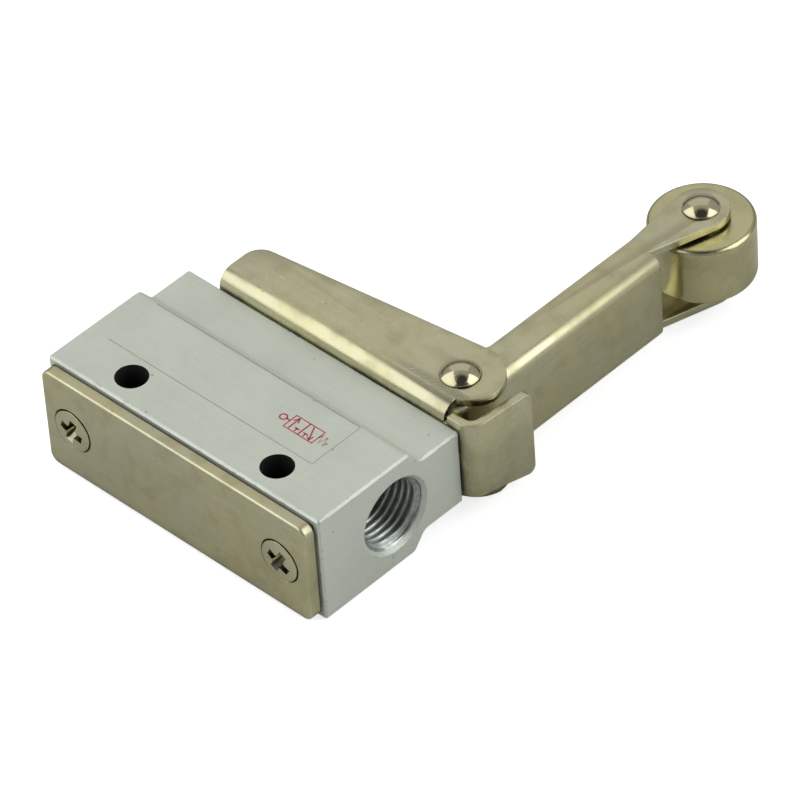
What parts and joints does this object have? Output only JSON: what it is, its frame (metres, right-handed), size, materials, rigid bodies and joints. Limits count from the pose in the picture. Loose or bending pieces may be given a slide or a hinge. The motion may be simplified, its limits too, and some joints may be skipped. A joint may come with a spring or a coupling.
{
  "type": "roller lever air valve",
  "caption": "Spool valve in a rectangular block with a port in each end, worked by a roller on a pressed lever that turns in a channel bracket.",
  "frame": {"origin": "midway between the two mounting holes, on the side face that the valve lies on", "axes": "+X along the block towards the outlet port, +Y from the cover plate towards the roller, +Z through the thickness, along the mounting holes"},
  "size_m": [0.0633, 0.1069, 0.0226],
  "materials": {
    "anodised_block": "matte silver anodised",
    "gasket": "matte black",
    "plated_sheet": "nickel plated, warm satin",
    "plated_fastener": "nickel plated",
    "polished_rivet": "polished nickel",
    "brass_bush": "turned brass",
    "seal_rubber": "nitrile rubber",
    "cage_metal": "turned aluminium",
    "roller_steel": "nickel plated, turned",
    "spool_metal": "ground aluminium",
    "hard_steel": "hardened and ground",
    "spring_steel": "spring wire"
  },
  "bodies": {
    "valve": {"valve_body": "anodised_block", "cover_gasket": "gasket", "cover_plate": "plated_sheet", "cover_screw_left": "plated_fastener", "cover_screw_right": "plated_fastener", "bracket": "plated_sheet", "bracket_screw_left": "plated_fastener", "bracket_screw_right": "plated_fastener", "pivot_pin": "polished_rivet", "guide_bush": "brass_bush", "front_seal": "seal_rubber", "middle_seal": "seal_rubber", "rear_seal": "seal_rubber", "inlet_cage": "cage_metal", "outlet_cage": "cage_metal", "seal_retainer": "cage_metal"},
    "lever": {"lever": "plated_sheet", "roller_pin": "polished_rivet", "roller_washer_upper": "plated_fastener", "roller_washer_lower": "plated_fastener"},
    "roller": {"roller": "roller_steel"},
    "plunger": {"spool": "spool_metal", "plunger": "hard_steel", "return_spring": "spring_steel"}
  },
  "joints": [
    {"name": "lever_pivot", "type": "hinge", "parent": "valve", "child": "lever", "pos_m": [0.0234, 0.034, 0.0105], "axis": [0, 0, 1], "range_deg": [0, 9], "stiffness_Nm_per_rad": 0.8, "springref_deg": -11.46},
    {"name": "roller_spin", "type": "hinge", "parent": "lever", "child": "roller", "pos_m": [0.0243, 0.0898, 0.0115], "axis": [0, 0, 1], "continuous": true},
    {"name": "plunger_slide", "type": "slide", "parent": "valve", "child": "plunger", "axis": [0, -1, 0], "range_m": [0, 0.00356], "deforming": ["return_spring"]}
  ],
  "couplings": [
    {"joint": "plunger_slide", "follows": "lever_pivot", "m_per_rad": 0.022642}
  ]
}
